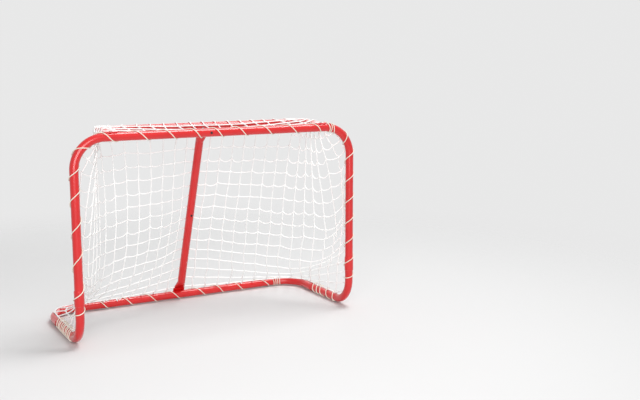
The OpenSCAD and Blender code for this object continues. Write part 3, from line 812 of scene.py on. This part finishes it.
def lace(name, line, node, first_knot, last_knot):
    """A wound cord with a knot beside each of its ends, as the piece for a node."""
    cord = Cords()
    cord.sweep(line, LACE_R, LACE_SIDES, LACE_STRANDS, LACE_LAY)
    end_knot(cord, line[0] + first_knot)
    end_knot(cord, line[-1] + last_knot)
    cord.piece(name, cream_cord, "lacing_cord", node)


# The front cord goes up the left post, along the crossbar and down the right post. Lengths
# along it are counted from the top of the left foot bend.
POST_Z0, POST_Z1 = RAIL_Z + FOOT_R, BAR_Z - CORNER_R
BEND_L = CORNER_R * math.pi / 2
S_BEND = POST_Z1 - POST_Z0
S_BAR = S_BEND + BEND_L
S_BEND2 = S_BAR + 2 * (POST_X - CORNER_R)
S_POST2 = S_BEND2 + BEND_L
LEFT_POST_Z = [0.104, 0.160, 0.262, 0.351, 0.439, 0.500]
CROSSBAR_X = [-0.342, -0.242, -0.160, -0.081, -0.014, 0.061, 0.146, 0.231, 0.322]
RIGHT_BEND = [0.010, 0.016, 0.022, 0.080]
RIGHT_POST_Z = [0.504, 0.431, 0.363, 0.295, 0.230, 0.164, 0.104]
SOCKET_Z = (0.1208, 0.1750)
TAB_REACH, TAB_LIFT = 0.0225, 0.0030


def front_axis(s):
    """A point on the axis of the front tubes and the tube's direction, at a length."""
    if s < S_BEND:
        return spot(-POST_X, 0, POST_Z0 + s), spot(0, 0, 1)
    if s < S_BAR:
        a = (s - S_BEND) / CORNER_R
        return (spot(-POST_X + CORNER_R * (1 - math.cos(a)), 0, POST_Z1 + CORNER_R * math.sin(a)),
                spot(math.sin(a), 0, math.cos(a)))
    if s < S_BEND2:
        return spot(-POST_X + CORNER_R + s - S_BAR, 0, BAR_Z), spot(1, 0, 0)
    if s < S_POST2:
        a = (s - S_BEND2) / CORNER_R
        return (spot(POST_X - CORNER_R * (1 - math.sin(a)), 0, POST_Z1 + CORNER_R * math.cos(a)),
                spot(math.cos(a), 0, -math.sin(a)))
    return spot(POST_X, 0, POST_Z1 - (s - S_POST2)), spot(0, 0, -1)


def front_reach(centre, a):
    """Out over the posts' sockets, the net's border and the arms' tabs."""
    r = LAY_R
    x, z = abs(centre[0]), centre[2]
    if x > POST_X - 0.001:
        wide = np.clip(min((z - SOCKET_Z[0]) / 0.004, (SOCKET_Z[1] - z) / 0.006), 0, 1)
        r += (SOCKET_R - TUBE_R) * wide
    r = max(r, over_border(a, -20, 20, 45))
    if z > BAR_Z - 0.001:
        tab = np.clip((TAB_REACH - abs(x - ARM_X)) / 0.003, 0, 1) * turn_in(a, 20, 128, 8)
        r = max(r, LAY_R + TAB_LIFT * tab)
    return r


stops = [z - POST_Z0 for z in LEFT_POST_Z] + [S_BEND + BEND_L * 0.5] \
    + [S_BAR + x + POST_X - CORNER_R for x in CROSSBAR_X] \
    + [S_BEND2 + d for d in RIGHT_BEND] \
    + [S_POST2 + POST_Z1 - z for z in RIGHT_POST_Z]
stations = stations_at(stops, 0.5, (0.0, stops[0] - 0.006), (len(stops) + 0.1, stops[-1] + 0.008))
lace("cord_front", wind(stations, front_axis, front_reach, spot(0, 1, 0)), "front_lacing",
     spot(0.001, 0.002, -0.001), spot(-0.001, 0.002, -0.001))

# The rear cord goes along the rear bar and ends in close turns in the right bend.
REAR_X = [-0.330, -0.254, -0.171, -0.089, -0.008, 0.086, 0.153, 0.225, 0.334, 0.352,
          0.360, 0.368, 0.376]


def rear_axis(s):
    """Along the rear bar by x, and round the bends at both ends of it."""
    straight = POST_X - REAR_R
    if abs(s) < straight:
        return spot(s, BASE_D, RAIL_Z), spot(1, 0, 0)
    side = math.copysign(1, s)
    a = (abs(s) - straight) / REAR_R
    return (spot(side * (straight + REAR_R * math.sin(a)),
                 BASE_D - REAR_R * (1 - math.cos(a)), RAIL_Z),
            spot(math.cos(a), -side * math.sin(a), 0))


def rear_reach(centre, a):
    return over_border(a, 265, 305, 40)


stations = stations_at(REAR_X, 0.35, (0.0, REAR_X[0] - 0.02), (len(REAR_X) - 0.3, 0.382))
lace("cord_rear", wind(stations, rear_axis, rear_reach, spot(0, 0, 1)), "rear_lacing",
     spot(-0.002, 0, 0.003), spot(0.002, 0, 0.003))


# A cord of its own ties the net to each rail, in uneven turns.
def rail_reach(centre, a):
    return over_border(a, -15, 15, 45)


for side, name, turns_y in (
        (-1, "left", [0.084, 0.097, 0.114, 0.125, 0.144, 0.155, 0.172, 0.190, 0.201, 0.222]),
        (1, "right", [0.088, 0.135, 0.175, 0.195, 0.222])):
    stations = stations_at(turns_y, 0.0, (-0.4, turns_y[0] - 0.008),
                           (len(turns_y) - 0.6, turns_y[-1] + 0.004))
    line = wind(stations, lambda s: (spot(side * POST_X, s, RAIL_Z), spot(0, 1, 0)),
                rail_reach, spot(0, 0, 1))
    lace("cord_rail_" + name, line, "rail_lacing_" + name, spot(0, 0, 0.003), spot(0, 0, 0.003))
